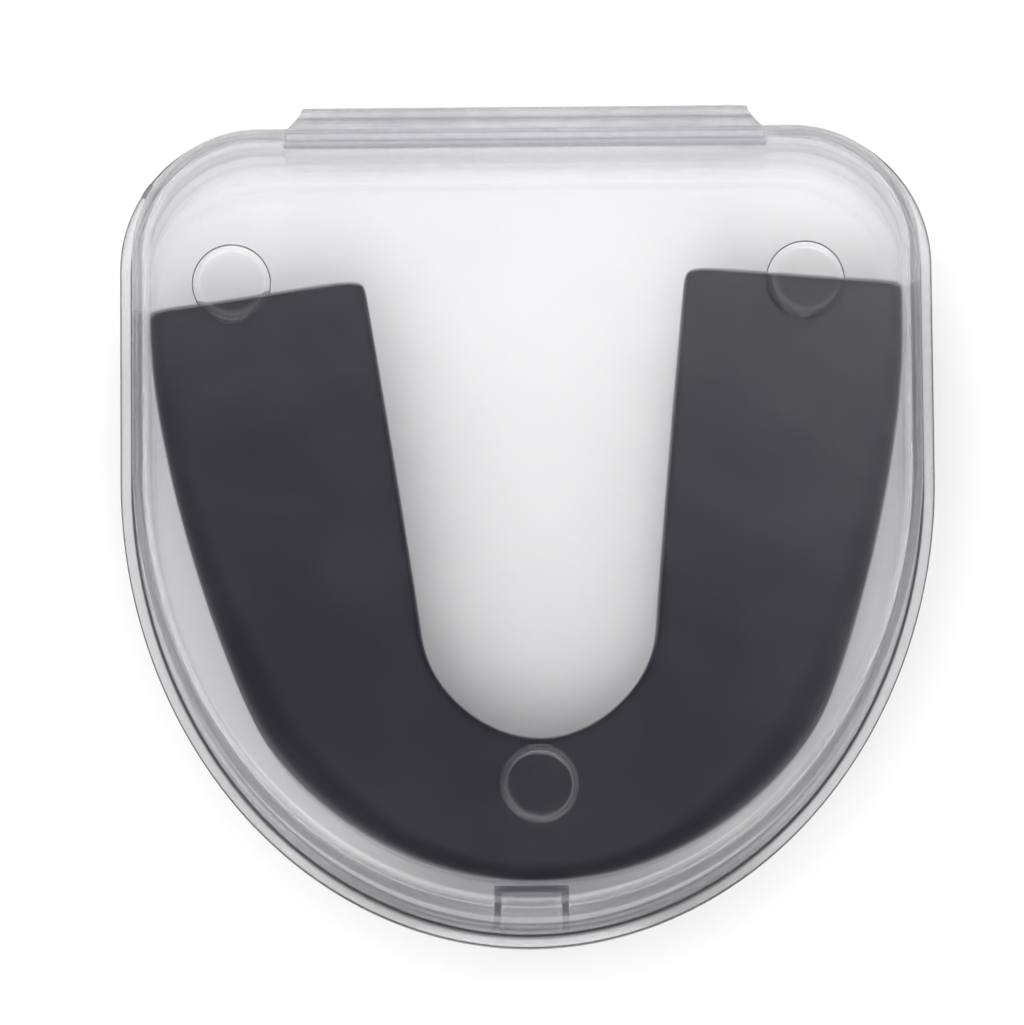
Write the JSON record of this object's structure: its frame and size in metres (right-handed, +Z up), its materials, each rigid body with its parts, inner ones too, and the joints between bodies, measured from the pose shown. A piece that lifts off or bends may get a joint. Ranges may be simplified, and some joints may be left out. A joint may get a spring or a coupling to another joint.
{
  "type": "mouthguard with case",
  "caption": "D-shaped clear plastic clamshell case with a living hinge and a snap catch, holding a loose dark boil-and-bite mouthguard with its bite face up.",
  "frame": {"origin": "under the middle of the closed case's bounding box, on the surface that the base lies on", "axes": "+Z up through the lid, +Y from the round front to the hinge, +X to the right along the hinge"},
  "size_m": [0.074, 0.077, 0.024],
  "materials": {
    "case_plastic": "clear, slightly hazy polypropylene",
    "guard_rubber": "dark charcoal EVA, satin"
  },
  "bodies": {
    "base": {"case_base": "case_plastic", "hinge_fold": "case_plastic", "mouthguard": "guard_rubber"},
    "lid": {"case_lid": "case_plastic"}
  },
  "joints": [
    {"name": "lid_open", "type": "hinge", "parent": "base", "child": "lid", "pos_m": [0, 0.03815, 0.012], "axis": [-1, 0, 0], "range_deg": [0, 180]}
  ]
}
